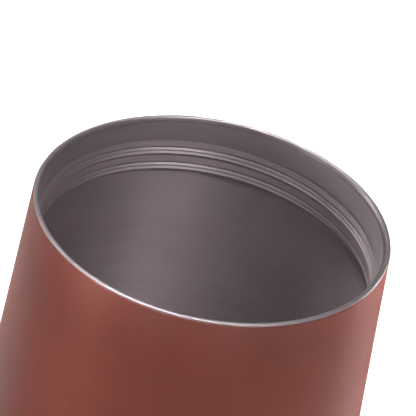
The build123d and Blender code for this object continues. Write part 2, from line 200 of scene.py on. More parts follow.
def add_object(name, shape, crease_degrees=30.0, shift_x=0.0):
    """New smooth-shaded mesh object, with edges sharper than the given angle kept sharp."""
    points, faces = shape
    mesh = bpy.data.meshes.new(name)
    mesh.from_pydata([(x + shift_x, y, z) for x, y, z in points], [], faces)
    editing = bmesh.new()
    editing.from_mesh(mesh)
    bmesh.ops.recalc_face_normals(editing, faces=editing.faces)
    editing.to_mesh(mesh)
    editing.free()
    mesh.shade_smooth()
    mesh.set_sharp_from_angle(angle=math.radians(crease_degrees))
    made = bpy.data.objects.new(name, mesh)
    bpy.context.scene.collection.objects.link(made)
    return made


def joined(*shapes):
    """Several shapes as one."""
    points, faces = [], []
    for more_points, more_faces in shapes:
        start = len(points)
        points.extend(more_points)
        faces.extend(tuple(start + corner for corner in face) for face in more_faces)
    return points, faces


def polar(radius, angle, z):
    return (radius * math.cos(angle), radius * math.sin(angle), z)


def ring_shape(ring_of, segments):
    """Turned ring whose section at each angle is the closed outline ring_of(angle) of (radius, z)."""
    points = []
    for column in range(segments):
        angle = 2 * math.pi * column / segments
        section = ring_of(angle)
        points.extend(polar(radius, angle, z) for radius, z in section)
    count = len(section)
    faces = []
    for column in range(segments):
        here = column * count
        there = (column + 1) % segments * count
        for row in range(count):
            after = (row + 1) % count
            faces.append((here + row, there + row, there + after, here + after))
    return points, faces


def solid_shape(ring_of, segments):
    """Turned solid: ring_of(angle) runs from one point on the axis to another."""
    bottom, top = ring_of(0.0)[0], ring_of(0.0)[-1]
    points = [(0.0, 0.0, bottom[1]), (0.0, 0.0, top[1])]
    for column in range(segments):
        angle = 2 * math.pi * column / segments
        section = ring_of(angle)[1:-1]
        points.extend(polar(radius, angle, z) for radius, z in section)
    count = len(section)
    faces = []
    for column in range(segments):
        here = 2 + column * count
        there = 2 + (column + 1) % segments * count
        faces.append((0, there, here))
        faces.append((1, here + count - 1, there + count - 1))
        for row in range(count - 1):
            faces.append((here + row, there + row, there + row + 1, here + row + 1))
    return points, faces


def along_x(shape, side):
    """Turn a shape built up the Z axis so that it points out along side times X, at the pivot."""
    points, faces = shape
    return [(side * z, y, PIVOT_Z - side * x) for x, y, z in points], faces


def rounded(outline, radius, steps=4):
    """Closed outline with its corners rounded; a corner near a shorter side is rounded less."""
    made = []
    count = len(outline)
    for index, corner in enumerate(outline):
        here = Vector(corner)
        before = Vector(outline[index - 1]) - here
        after = Vector(outline[(index + 1) % count]) - here
        reach = min(radius, before.length * 0.45, after.length * 0.45)
        start = here + before.normalized() * reach
        end = here + after.normalized() * reach
        for step in range(steps + 1):
            share = step / steps
            point = start.lerp(here, share).lerp(here.lerp(end, share), share)
            made.append((point.x, point.y))
    return made


def swept_shape(path, section_at):
    """Bar along a flat path of (point, outward); section_at(share) is a closed (outward, up) outline."""
    points = []
    for index, ((x, y), (out_x, out_y)) in enumerate(path):
        section = section_at(index / (len(path) - 1))
        points.extend((x + out_x * out, y + out_y * out, PIVOT_Z + up) for out, up in section)
    count = len(section)
    faces = [tuple(range(count)), tuple(range(len(points) - count, len(points)))]
    for station in range(len(path) - 1):
        for row in range(count):
            here = station * count
            there = here + count
            after = (row + 1) % count
            faces.append((here + row, there + row, there + after, here + after))
    return points, faces


def block_shape(middle, size, edge):
    """Small moulded block with rounded edges and corners."""
    editing = bmesh.new()
    bmesh.ops.create_cube(editing, size=1.0)
    for vertex in editing.verts:
        vertex.co = Vector(c + v * s for c, v, s in zip(middle, vertex.co, size))
    bmesh.ops.bevel(editing, geom=editing.edges[:], offset=edge, segments=3, profile=0.5, affect="EDGES")
    editing.verts.index_update()
    shape = ([vertex.co[:] for vertex in editing.verts],
             [tuple(vertex.index for vertex in face.verts) for face in editing.faces])
    editing.free()
    return shape


def stand_in(name, shape, body, node, crease_degrees=40.0, shift_x=0.0):
    """Make a shape into a piece that rides on a body and stands for a CAD node."""
    piece = add_object(name, shape, crease_degrees, shift_x)
    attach(piece, body)
    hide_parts(node)
    return piece


def lid_piece(name, shape, node, body="lid", crease_degrees=40.0):
    return stand_in(name, shape, body, node, crease_degrees, LID_X)


# ---------------------------------------------------------------- vessel shapes

def smooth_step(value):
    value = min(1.0, max(0.0, value))
    return value * value * (3 - 2 * value)


def along_profile(offset):
    """Height of the ridge's profile at a distance below its top edge."""
    for (low, start), (high, end) in zip(RIDGE_PROFILE, RIDGE_PROFILE[1:]):
        if low <= offset < high:
            return start + (end - start) * (offset - low) / (high - low)
    return 0.0


def plain_inner_radius(depth):
    """Inner wall without its thread, from the chamfer down."""
    if depth < NECK_DEPTH:
        share = (depth - CHAMFER_DEPTH) / (NECK_DEPTH - CHAMFER_DEPTH)
        return NECK_RADIUS + (ROOT_RADIUS - NECK_RADIUS) * share
    if depth < STEP_TOP_DEPTH:
        return ROOT_RADIUS
    if depth < STEP_LOW_DEPTH:
        share = smooth_step((depth - STEP_TOP_DEPTH) / (STEP_LOW_DEPTH - STEP_TOP_DEPTH))
        return ROOT_RADIUS + (CHAMBER_TOP_RADIUS - ROOT_RADIUS) * share
    length = RIM_Z - STEP_LOW_DEPTH - LINER_LOW_Z
    share = (depth - STEP_LOW_DEPTH) / length
    return CHAMBER_TOP_RADIUS + (LINER_LOW_OUTER - LINER_WALL - CHAMBER_TOP_RADIUS) * share


def ridge_height(angle, depth):
    """How far the helical ridge stands in from the wall at one place, its ends faded out."""
    start = math.radians(THREAD_START_ANGLE)
    height = 0.0
    for lap in range(2):
        turn = ((angle - start) % (2 * math.pi)) / (2 * math.pi) + lap
        if turn > THREAD_TURNS:
            continue
        fade = smooth_step(turn / THREAD_FADE) * smooth_step((THREAD_TURNS - turn) / THREAD_FADE)
        height += fade * along_profile(depth - (THREAD_START_DEPTH - THREAD_PITCH * turn))
    return height


def liner_section(angle, depths):
    """Closed section of the liner at one angle: inner wall, chamfer, lip and outer side."""
    section = []
    for depth in reversed(depths):
        section.append((plain_inner_radius(depth) - ridge_height(angle, depth), RIM_Z - depth))
    section += chamfer_points()
    section += lip_points()
    neck_outside = NECK_RADIUS + NECK_WALL
    section += [
        (RIM_RADIUS - LINER_WALL, RIM_Z - LIP_STEP),
        (neck_outside, RIM_Z - 2.2 * MM),
        (neck_outside, RIM_Z - STEP_TOP_DEPTH),
        (CHAMBER_TOP_RADIUS + LINER_WALL, RIM_Z - STEP_LOW_DEPTH),
        (LINER_LOW_OUTER, LINER_LOW_Z),
    ]
    return section


def chamfer_points():
    """Slightly rounded chamfer between the neck wall and the lip."""
    points = []
    for step in range(1, 7):
        share = step / 7
        bulge = 0.10 * MM * math.sin(math.pi * share)
        points.append((NECK_RADIUS + CHAMFER_WIDTH * share ** 1.4 - bulge * 0.3,
                       RIM_Z - CHAMFER_DEPTH * (1 - share) + bulge * 0.3))
    return points


def lip_points():
    """Crowned flat of the lip and its small outer round."""
    inner = NECK_RADIUS + CHAMFER_WIDTH
    outer = RIM_RADIUS - PAINT_EDGE
    round_over = 0.16 * MM
    points = []
    for step in range(9):
        share = step / 8
        crown = 0.03 * MM * (2 * share - 1) ** 2
        points.append((inner + (outer - round_over - inner) * share, RIM_Z - crown))
    for step in range(1, 5):
        turn = math.pi / 2 * step / 4
        points.append((outer - round_over + round_over * math.sin(turn),
                       RIM_Z - 0.03 * MM - round_over * (1 - math.cos(turn))))
    points.append((outer, RIM_Z - LIP_STEP))
    return points


def spaced(first, last, step):
    count = max(1, round((last - first) / step))
    return [first + (last - first) * index / count for index in range(count)]


def make_liner():
    depths = spaced(CHAMFER_DEPTH, NECK_DEPTH, 0.3 * MM)
    depths += spaced(NECK_DEPTH, STEP_LOW_DEPTH + 0.4 * MM, 0.06 * MM)
    depths += spaced(STEP_LOW_DEPTH + 0.4 * MM, 40 * MM, 2 * MM)
    depths += spaced(40 * MM, RIM_Z - LINER_LOW_Z, 12 * MM) + [RIM_Z - LINER_LOW_Z]
    shape = ring_shape(lambda angle: liner_section(angle, depths), LINER_SEGMENTS)
    return stand_in("liner", shape, "vessel", "liner_wall", 50.0)


def shell_radius(z):
    share = (SHELL_TOP_Z - z) / (SHELL_TOP_Z - SHELL_LOW_Z - SHELL_CORNER_HEIGHT)
    return RIM_RADIUS + (SHELL_LOW_RADIUS - RIM_RADIUS) * share


def shell_section():
    """Closed section of the painted shell: rounded edges, straight side."""
    wall = LINER_WALL
    top = SHELL_TOP_Z
    low = SHELL_LOW_Z
    side_low = low + SHELL_CORNER_HEIGHT
    points = [(RIM_RADIUS - wall, top), (RIM_RADIUS - SHELL_EDGE, top)]
    for step in range(1, 5):
        turn = math.pi / 2 * step / 4
        points.append((RIM_RADIUS - SHELL_EDGE * (1 - math.sin(turn)),
                       top - SHELL_EDGE * (1 - math.cos(turn))))
    for step in range(1, 24):
        z = top + (side_low - top) * step / 24
        points.append((shell_radius(z), z))
    for step in range(9):
        turn = math.pi / 2 * step / 8
        points.append((shell_radius(side_low) - SHELL_CORNER_DEPTH * (1 - math.cos(turn)),
                       side_low - SHELL_CORNER_HEIGHT * math.sin(turn)))
    points.append((shell_radius(side_low) - SHELL_CORNER_DEPTH - wall, low))
    points.append((shell_radius(side_low) - wall, side_low))
    return points


def make_shell():
    shape = ring_shape(lambda angle: shell_section(), SHELL_SEGMENTS)
    return stand_in("painted_shell", shape, "vessel", "outer_shell")


def make_base_cover():
    """Steel pan under the vessel, its corner drawn to a radius."""
    sheet = 0.8 * MM
    outline = rounded([
        (COVER_RADIUS, COVER_LOW_Z), (COVER_RADIUS, COVER_TOP_Z),
        (COVER_RADIUS - sheet, COVER_TOP_Z), (COVER_RADIUS - sheet, COVER_LOW_Z + sheet),
        (PAD_RADIUS * 0.5, COVER_LOW_Z + sheet), (PAD_RADIUS * 0.5, COVER_LOW_Z),
    ], 1.2 * MM)
    middle = solid_shape(lambda angle: [(0.0, COVER_LOW_Z), (PAD_RADIUS * 0.55, COVER_LOW_Z),
                                        (PAD_RADIUS * 0.55, COVER_LOW_Z + sheet * 0.8),
                                        (0.0, COVER_LOW_Z + sheet * 0.8)], 120)
    shape = joined(ring_shape(lambda angle: outline, DISC_SEGMENTS), middle)
    return stand_in("base_pan", shape, "vessel", "base_cover")


def make_base_pad():
    """Rubber pad with three round-edged grooves."""
    edge = 0.5 * MM
    section = [(0.0, COVER_LOW_Z), (PAD_RADIUS - 0.15 * MM, COVER_LOW_Z),
               (PAD_RADIUS, COVER_LOW_Z - 0.15 * MM)]
    for step in range(7):
        turn = math.pi / 2 * step / 6
        section.append((PAD_RADIUS - edge * (1 - math.cos(turn)), edge * (1 - math.sin(turn))))
    for groove in reversed(PAD_GROOVES):
        for step in range(9):
            turn = math.pi * step / 8
            section.append((groove + (1 + math.cos(turn)) * 0.5 * MM, 0.5 * MM * math.sin(turn) ** 0.6))
    section.append((0.0, 0.0))
    shape = solid_shape(lambda angle: section, DISC_SEGMENTS)
    return stand_in("foot_pad", shape, "vessel", "base_pad")


# ---------------------------------------------------------------- lid shapes
# Built about Z with the plug's foot at height 0, and moved to LID_X by lid_piece.

def rib_rise(angle):
    """0 between the grip ribs, 1 on top of one; none beside the lugs."""
    spacing = 2 * math.pi / RIB_COUNT
    nearest = round(angle / spacing) * spacing
    if abs(math.cos(nearest)) >= RIB_LIMIT:
        return 0.0
    away = abs(angle - nearest) * CAP_RADIUS
    return 1 - smooth_step((away - RIB_WIDTH * 0.22) / (RIB_WIDTH * 0.28))


def cap_section(angle):
    """Cap wall, rounded shoulder and the recess that holds the top plate."""
    rise = rib_rise(angle)
    low, top = CAP_LOW_Z, CAP_TOP_Z
    middle = (low + top) / 2 - 0.5 * MM
    points = [(CAP_RADIUS - CAP_WALL, low), (CAP_RADIUS - 0.35 * MM, low), (CAP_RADIUS, low + 0.35 * MM)]
    for z in spaced(low + 0.6 * MM, top - 2.2 * MM, 0.3 * MM):
        end = RIB_HEIGHT / 2 - abs(z - middle)
        points.append((CAP_RADIUS + RIB_DEPTH * rise * smooth_step(end / (0.9 * MM)), z))
    for step in range(11):
        turn = math.pi / 2 * step / 10
        points.append((CAP_RADIUS - 2.0 * MM * (1 - math.cos(turn)), top - 2.0 * MM * (1 - math.sin(turn))))
    recess = PLATE_RADIUS + 0.2 * MM
    points += [
        (recess + 0.25 * MM, top), (recess + 0.07 * MM, top - 0.07 * MM), (recess, top - 0.25 * MM),
        (recess, top - 0.8 * MM), (0.001 * MM, top - 0.8 * MM), (0.001 * MM, top - CAP_WALL),
        (CAP_RADIUS - CAP_WALL - 1.0 * MM, top - CAP_WALL),
        (CAP_RADIUS - CAP_WALL, top - CAP_WALL - 1.0 * MM),
    ]
    return points


def lug_shape(side):
    """Round boss on the cap's side that carries the bail's pin."""
    low = CAP_RADIUS - 5.0 * MM
    outline = rounded([
        (PIN_RADIUS, low), (LUG_RADIUS, low), (LUG_RADIUS, LUG_REACH), (PIN_RADIUS, LUG_REACH),
    ], 0.6 * MM)
    return along_x(ring_shape(lambda angle: outline, 96), side)


def make_cap():
    shapes = [ring_shape(cap_section, RIB_COUNT * 18)]
    drop = PIVOT_Z - BAIL_WIDTH / 2 - STOP_GAP - STOP_SIZE[2] / 2
    for side in (-1, 1):
        shapes.append(lug_shape(side))
        for end in (-1, 1):
            middle = (side * (STOP_REACH - STOP_SIZE[0] / 2), end * STOP_OFFSET, drop)
            shapes.append(block_shape(middle, STOP_SIZE, 0.45 * MM))
    return lid_piece("cap", joined(*shapes), "lid_cap", crease_degrees=32.0)


def plug_ridge(angle, z):
    """Height of the plug's rounded thread at one place."""
    height = 0.0
    for lap in range(2):
        turn = angle / (2 * math.pi) + lap
        if turn > PLUG_THREAD_TURNS:
            continue
        fade = smooth_step(turn / 0.06) * smooth_step((PLUG_THREAD_TURNS - turn) / 0.06)
        away = abs(z - PLUG_THREAD_LOW_Z - PLUG_THREAD_PITCH * turn)
        height += fade * (1 - smooth_step((away - 0.35 * MM) / (1.1 * MM)))
    return PLUG_THREAD_HEIGHT * height


def plug_section(angle):
    """Threaded cup with its flange on top and the seat of the foot disc below."""
    foot = PLUG_CORE_RADIUS - 0.9 * MM
    points = [(foot - 0.9 * MM, 0.0), (foot - 0.3 * MM, 0.25 * MM), (foot, 0.9 * MM)]
    for z in spaced(2.2 * MM, GASKET_LOW_Z, 0.2 * MM) + [GASKET_LOW_Z]:
        points.append((PLUG_CORE_RADIUS + plug_ridge(angle, z), z))
    top = CAP_LOW_Z
    points += [
        (PLUG_CORE_RADIUS - 0.9 * MM, GASKET_LOW_Z), (PLUG_CORE_RADIUS - 0.9 * MM, GASKET_TOP_Z),
        (FLANGE_RADIUS - 0.3 * MM, GASKET_TOP_Z), (FLANGE_RADIUS, GASKET_TOP_Z + 0.3 * MM),
        (FLANGE_RADIUS, top - 0.25 * MM), (FLANGE_RADIUS - 0.25 * MM, top),
        (PLUG_CORE_RADIUS - PLUG_WALL, top), (PLUG_CORE_RADIUS - PLUG_WALL, 2.0 * MM),
        (FOOT_DISC_RADIUS - 2.0 * MM, 2.0 * MM), (FOOT_DISC_RADIUS - 2.0 * MM, FOOT_DISC_TOP_Z),
        (FOOT_DISC_RADIUS, FOOT_DISC_TOP_Z), (FOOT_DISC_RADIUS, 0.2 * MM), (FOOT_DISC_RADIUS + 0.2 * MM, 0.0),
    ]
    return points


def make_plug():
    return lid_piece("plug", ring_shape(plug_section, PLUG_SEGMENTS), "lid_plug")


def make_gasket():
    """Silicone ring with a soft round lip."""
    inner = PLUG_CORE_RADIUS - 0.9 * MM
    outline = rounded([
        (inner, GASKET_LOW_Z), (inner + 1.0 * MM, GASKET_LOW_Z), (inner + 1.9 * MM, GASKET_TOP_Z - 0.9 * MM),
        (inner + 1.9 * MM, GASKET_TOP_Z), (inner, GASKET_TOP_Z),
    ], 0.5 * MM)
    return lid_piece("gasket", ring_shape(lambda angle: outline, 300), "lid_gasket")


def make_foot_disc():
    """Steel disc in the plug's foot, with a pressed ring near its edge."""
    radius, top = FOOT_DISC_RADIUS, FOOT_DISC_TOP_Z
    section = [(0.0, top), (radius, top), (radius, 0.25 * MM), (radius - 0.07 * MM, 0.07 * MM),
               (radius - 0.25 * MM, 0.0), (radius - 3.0 * MM, 0.0)]
    for step in range(9):
        share = step / 8
        section.append((radius - (3.0 + 1.6 * share) * MM, 0.3 * MM * math.sin(math.pi * share)))
    section += [(radius * 0.4, 0.0), (0.0, 0.0)]
    shape = solid_shape(lambda angle: section, DISC_SEGMENTS)
    return lid_piece("foot_disc", shape, "lid_foot_disc")


def make_top_plate():
    """Steel disc in the cap, with a fine chamfered edge."""
    radius, low, top = PLATE_RADIUS, CAP_TOP_Z - 0.8 * MM, CAP_TOP_Z
    section = [(0.0, low), (radius, low), (radius, top - 0.3 * MM), (radius - 0.08 * MM, top - 0.1 * MM),
               (radius - 0.3 * MM, top - 0.02 * MM), (radius - 0.5 * MM, top), (radius * 0.5, top),
               (0.0, top)]
    shape = solid_shape(lambda angle: section, DISC_SEGMENTS)
    return lid_piece("top_plate", shape, "lid_top_plate")


def screw_section(angle):
    """Button head with a hexagonal socket."""
    low = CAP_TOP_Z
    height = SCREW_TOP_Z - low
    points = [(0.0, low - 1.0 * MM), (SCREW_SHANK_RADIUS, low - 1.0 * MM), (SCREW_SHANK_RADIUS, low),
              (SCREW_HEAD_RADIUS - 0.1 * MM, low)]
    for step in range(9):
        share = step / 8
        points.append((SCREW_HEAD_RADIUS - 1.1 * MM * share ** 2.2,
                       low + 0.12 * MM + (height - 0.12 * MM) * share))
    sixth = math.pi / 3
    side = (angle % sixth) - sixth / 2
    socket = SOCKET_RADIUS * math.cos(sixth / 2) / math.cos(side)
    points += [(socket + 0.14 * MM, low + height), (socket, low + height - 0.14 * MM),
               (socket, low + height * 0.4), (0.0, low + height * 0.35)]
    return points


def make_screws():
    screw_points, screw_faces = solid_shape(screw_section, 48)
    screws = []
    for index in range(SCREW_COUNT):
        angle = math.pi / 2 + index * 2 * math.pi / SCREW_COUNT
        shift_x = SCREW_CIRCLE_RADIUS * math.cos(angle)
        shift_y = SCREW_CIRCLE_RADIUS * math.sin(angle)
        screws.append(([(x + shift_x, y + shift_y, z) for x, y, z in screw_points], screw_faces))
    return lid_piece("screws", joined(*screws), "plate_screws")


def make_pins():
    """Headed pins with slightly domed, round-edged heads."""
    neck = PIN_END - PIN_HEAD_THICKNESS
    section = [(0.0, PIN_START), (PIN_RADIUS, PIN_START), (PIN_RADIUS, neck),
               (PIN_HEAD_RADIUS - 0.15 * MM, neck)]
    section += [(PIN_HEAD_RADIUS, neck + 0.15 * MM), (PIN_HEAD_RADIUS, neck + 0.7 * MM)]
    for step in range(1, 10):
        share = step / 9
        section.append((PIN_HEAD_RADIUS * (1 - share), PIN_END - 0.7 * MM * (1 - share) ** 3.5))
    section[-1] = (0.0, PIN_END)
    pin = solid_shape(lambda angle: section, 64)
    return lid_piece("pins", joined(along_x(pin, -1), along_x(pin, 1)), "handle_pins")


def make_washers():
    outline = rounded([
        (PIN_RADIUS, LUG_REACH), (WASHER_RADIUS, LUG_REACH),
        (WASHER_RADIUS, LUG_REACH + WASHER_THICKNESS), (PIN_RADIUS, LUG_REACH + WASHER_THICKNESS),
    ], 0.18 * MM)
    washer = ring_shape(lambda angle: outline, 72)
    return lid_piece("washers", joined(along_x(washer, -1), along_x(washer, 1)), "pivot_washers")


def bar_outline(thick, tall, radius):
    """Rounded rectangle about the middle of the bail's strip."""
    half_thick, half_tall = thick / 2, tall / 2
    return rounded([(-half_thick, -half_tall), (half_thick, -half_tall), (half_thick, half_tall),
                    (-half_thick, half_tall)], radius)


def bend_station(turn):
    """Point and outward direction on the bend; turn 0 faces -Y, positive goes towards +X."""
    out = (math.sin(turn), -math.cos(turn))
    return ((BEND_RADIUS * out[0], -BAIL_LEG + BEND_RADIUS * out[1]), out)


def eye_shape(side):
    """End of the bail's leg: rounded, with the pin's hole."""
    half = BAIL_WIDTH / 2
    low = BEND_RADIUS - BAIL_THICKNESS / 2
    high = low + BAIL_THICKNESS

    def section(angle):
        towards_leg = max(0.0, -math.sin(angle))
        across = abs(math.cos(angle))
        outer = half
        if towards_leg > 0:
            outer = min(half / max(across, 0.001), (half + 0.2 * MM) / towards_leg)
        corners = [(BAIL_HOLE_RADIUS, low), (outer, low), (outer, high), (BAIL_HOLE_RADIUS, high)]
        return rounded(corners, 0.3 * MM)

    return along_x(ring_shape(section, 96), side)


def make_handle():
    """Flat steel strip: two legs, a half-round bend and an eye at each end."""
    quarter = math.pi / 2
    path = [((-BEND_RADIUS, y), (-1.0, 0.0)) for y in (-BAIL_WIDTH / 2, -BAIL_LEG * 0.7)]
    path += [bend_station(-quarter + 2 * quarter * step / 96) for step in range(97)]
    path += [((BEND_RADIUS, y), (1.0, 0.0)) for y in (-BAIL_LEG * 0.7, -BAIL_WIDTH / 2)]
    outline = bar_outline(BAIL_THICKNESS, BAIL_WIDTH, 0.7 * MM)
    strip = swept_shape(path, lambda share: outline)
    shape = joined(strip, eye_shape(-1), eye_shape(1))
    return lid_piece("handle_strip", shape, "bail", "handle")


def grip_outline(share):
    """Section of the moulded grip at a share of its length: round ends, grooves across it between them."""
    from_end = min(share, 1 - share) * GRIP_ANGLE * BEND_RADIUS
    end_round = 1.4 * MM
    drop = 0.0
    if from_end < end_round:
        drop = end_round - math.sqrt(end_round ** 2 - (end_round - from_end) ** 2)
    grooved = 1 - 2 * GRIP_PLAIN_END
    wave = 0.5 - 0.5 * math.cos(2 * math.pi * GRIP_GROOVES * (share - GRIP_PLAIN_END) / grooved)
    if GRIP_PLAIN_END < share < 1 - GRIP_PLAIN_END:
        drop += GRIP_GROOVE_DEPTH * (1 - wave) ** 4
    return bar_outline(BAIL_THICKNESS + 2 * (GRIP_WALL - drop), GRIP_HEIGHT - 2 * drop, 2.0 * MM)


def make_grip():
    """Grip moulded round the middle of the bend, its stations closest together at the rounded ends."""
    half = GRIP_ANGLE / 2
    shares = [0.5 - 0.5 * math.cos(math.pi * step / GRIP_STATIONS) for step in range(GRIP_STATIONS + 1)]
    path = [bend_station(-half + GRIP_ANGLE * share) for share in shares]
    shape = swept_shape(path, lambda share: grip_outline(shares[round(share * GRIP_STATIONS)]))
    return lid_piece("grip", shape, "bail_grip", "handle")


# ---------------------------------------------------------------- material helpers

class Nodes:
    """Short names for building one material's node tree."""

    def __init__(self, name):
        self.material = bpy.data.materials.new(name)
        self.material.use_nodes = True
        self.tree = self.material.node_tree
        self.shader = self.tree.nodes["Principled BSDF"]

    def add(self, kind, **settings):
        node = self.tree.nodes.new(kind)
        for key, value in settings.items():
            setattr(node, key, value)
        return node

    def link(self, output, target):
        self.tree.links.new(output, target)

    def math(self, operation, first, second=None):
        node = self.add("ShaderNodeMath", operation=operation)
        for index, value in enumerate((first, second)):
            if value is None:
                continue
            if isinstance(value, (int, float)):
                node.inputs[index].default_value = value
            else:
                self.link(value, node.inputs[index])
        return node.outputs[0]

    def vector(self, x, y, z):
        node = self.add("ShaderNodeCombineXYZ")
        for index, value in enumerate((x, y, z)):
            if isinstance(value, (int, float)):
                node.inputs[index].default_value = value
            else:
                self.link(value, node.inputs[index])
        return node.outputs[0]

    def object_position(self):
        return self.add("ShaderNodeTexCoord").outputs["Object"]

    def split(self, vector):
        node = self.add("ShaderNodeSeparateXYZ")
        self.link(vector, node.inputs[0])
        return node.outputs[0], node.outputs[1], node.outputs[2]

    def noise(self, vector, scale, detail=2.0, roughness=0.5):
        node = self.add("ShaderNodeTexNoise")
        node.inputs["Scale"].default_value = scale
        node.inputs["Detail"].default_value = detail
        node.inputs["Roughness"].default_value = roughness
        self.link(vector, node.inputs["Vector"])
        return node.outputs[0]

    def ramp(self, value, stops):
        """Map 0..1 to colours; stops are (position, (r, g, b))."""
        node = self.add("ShaderNodeValToRGB")
        elements = node.color_ramp.elements
        while len(elements) < len(stops):
            elements.new(0.5)
        for element, (position, colour) in zip(elements, stops):
            element.position = position
            element.color = (*colour, 1.0)
        self.link(value, node.inputs[0])
        return node.outputs[0]

    def span(self, value, low, high):
        """Map 0..1 to low..high."""
        node = self.add("ShaderNodeMapRange")
        node.inputs["To Min"].default_value = low
        node.inputs["To Max"].default_value = high
        self.link(value, node.inputs["Value"])
        return node.outputs[0]

    def bump(self, height, strength, distance, normal=None):
        node = self.add("ShaderNodeBump")
        node.inputs["Strength"].default_value = strength
        node.inputs["Distance"].default_value = distance
        self.link(height, node.inputs["Height"])
        if normal is not None:
            self.link(normal, node.inputs["Normal"])
        return node.outputs[0]

    def set(self, **values):
        for key, value in values.items():
            self.shader.inputs[key.replace("_", " ")].default_value = value

    def feed(self, output, socket):
        self.link(output, self.shader.inputs[socket])


def round_the_axis(nodes, axis_x, along, across):
    """Texture place that changes slowly round a vertical axis and fast up and out from it."""
    x, y, z = nodes.split(nodes.object_position())
    x = nodes.math("SUBTRACT", x, axis_x)
    radius = nodes.math("SQRT", nodes.math("ADD", nodes.math("MULTIPLY", x, x), nodes.math("MULTIPLY", y, y)))
    safe = nodes.math("MAXIMUM", radius, 0.0005)
    return nodes.vector(
        nodes.math("MULTIPLY", nodes.math("DIVIDE", x, safe), along),
        nodes.math("MULTIPLY", nodes.math("DIVIDE", y, safe), along),
        nodes.math("MULTIPLY", nodes.math("ADD", z, radius), across),
    )


def spun_steel(name, colours, roughness, axis_x=0.0, line_depth=0.02 * MM, strength=0.35,
               directional=0.5, glitter=0.15):
    """Bare steel with fine spun lines round a vertical axis."""
    nodes = Nodes(name)
    fine = nodes.noise(round_the_axis(nodes, axis_x, 1.2, 9000.0), 1.0, 3.0, 0.65)
    broad = nodes.noise(round_the_axis(nodes, axis_x, 2.0, 900.0), 1.0, 2.0)
    cloud = nodes.noise(nodes.object_position(), 60.0, 3.0)
    tone = nodes.math("ADD", nodes.math("MULTIPLY", broad, 0.45), nodes.math("MULTIPLY", cloud, 0.55))
    nodes.feed(nodes.ramp(tone, [(0.3, colours[0]), (0.7, colours[1])]), "Base Color")
    nodes.feed(nodes.span(fine, roughness - 0.07, roughness + 0.07), "Roughness")
    speck = nodes.noise(nodes.object_position(), 3800.0, 1.0)
    nodes.feed(nodes.bump(speck, glitter, 0.03 * MM, nodes.bump(fine, strength, line_depth)), "Normal")
    tangent = nodes.add("ShaderNodeTangent", direction_type="RADIAL", axis="Z")
    nodes.feed(tangent.outputs[0], "Tangent")
    nodes.set(Metallic=1.0, Anisotropic=directional, Anisotropic_Rotation=0.25)
    return nodes.material


def painted_metal():
    """Satin copper-brown paint with flake and orange peel; its clear coat weakens at grazing angles."""
    nodes = Nodes("copper_brown_coat")
    place = nodes.object_position()
    flake = nodes.noise(place, 5200.0, 2.0, 0.6)
    peel = nodes.noise(place, 1500.0, 2.0)
    cloud = nodes.noise(place, 45.0, 3.0)
    tone = nodes.math("ADD", nodes.math("MULTIPLY", flake, 0.5), nodes.math("MULTIPLY", cloud, 0.5))
    nodes.feed(nodes.ramp(tone, [(0.3, (0.212, 0.030, 0.011)), (0.7, (0.288, 0.042, 0.017))]), "Base Color")
    nodes.feed(nodes.span(flake, 0.46, 0.56), "Roughness")
    nodes.feed(nodes.bump(peel, 0.2, 0.03 * MM, nodes.bump(flake, 0.35, 0.012 * MM)), "Normal")
    edge = nodes.add("ShaderNodeLayerWeight")
    edge.inputs["Blend"].default_value = 0.5
    coat = nodes.add("ShaderNodeMapRange")
    coat.inputs["From Min"].default_value = 0.60
    coat.inputs["From Max"].default_value = 0.90
    coat.inputs["To Min"].default_value = 1.0
    coat.inputs["To Max"].default_value = 0.15
    nodes.link(edge.outputs["Facing"], coat.inputs["Value"])
    nodes.feed(coat.outputs[0], "Coat Weight")
    nodes.set(Metallic=0.75, Specular_IOR_Level=0.3, Coat_Roughness=0.27, Coat_IOR=1.65)
    nodes.shader.inputs["Specular Tint"].default_value = (0.55, 0.35, 0.30, 1.0)
    return nodes.material


def moulded(name, dark, light, roughness, grain_scale, grain_depth, specular=0.5):
    """Moulded plastic or rubber: fine spark grain, cloudy tone and rubbed patches."""
    nodes = Nodes(name)
    place = nodes.object_position()
    grain = nodes.noise(place, grain_scale, 3.0, 0.6)
    cloud = nodes.noise(place, 55.0, 4.0)
    rubbed = nodes.noise(place, 170.0, 5.0, 0.7)
    nodes.feed(nodes.ramp(cloud, [(0.35, dark), (0.68, light)]), "Base Color")
    nodes.feed(nodes.span(rubbed, roughness - 0.10, roughness + 0.10), "Roughness")
    nodes.feed(nodes.bump(grain, 0.5, grain_depth), "Normal")
    nodes.shader.inputs["Specular IOR Level"].default_value = specular
    return nodes.material


def silicone():
    """Slightly translucent pale silicone with a bloom of dust."""
    nodes = Nodes("pale_silicone")
    place = nodes.object_position()
    cloud = nodes.noise(place, 90.0, 4.0)
    dust = nodes.noise(place, 2600.0, 2.0, 0.7)
    nodes.feed(nodes.ramp(cloud, [(0.35, (0.55, 0.55, 0.53)), (0.65, (0.66, 0.66, 0.64))]), "Base Color")
    nodes.feed(nodes.span(dust, 0.38, 0.56), "Roughness")
    nodes.feed(nodes.bump(dust, 0.3, 0.02 * MM), "Normal")
    nodes.set(Subsurface_Weight=0.25, Subsurface_Scale=0.8 * MM)
    return nodes.material


def copper_sheet():
    """Thin copper foil with soft crinkles."""
    nodes = Nodes("copper_sheet")
    place = nodes.object_position()
    crinkle = nodes.noise(place, 130.0, 5.0, 0.65)
    tarnish = nodes.noise(place, 30.0, 4.0)
    nodes.feed(nodes.ramp(tarnish, [(0.35, (0.78, 0.40, 0.26)), (0.7, (0.62, 0.28, 0.17))]), "Base Color")
    nodes.feed(nodes.span(crinkle, 0.22, 0.42), "Roughness")
    nodes.feed(nodes.bump(crinkle, 0.6, 0.3 * MM), "Normal")
    nodes.set(Metallic=1.0)
    return nodes.material


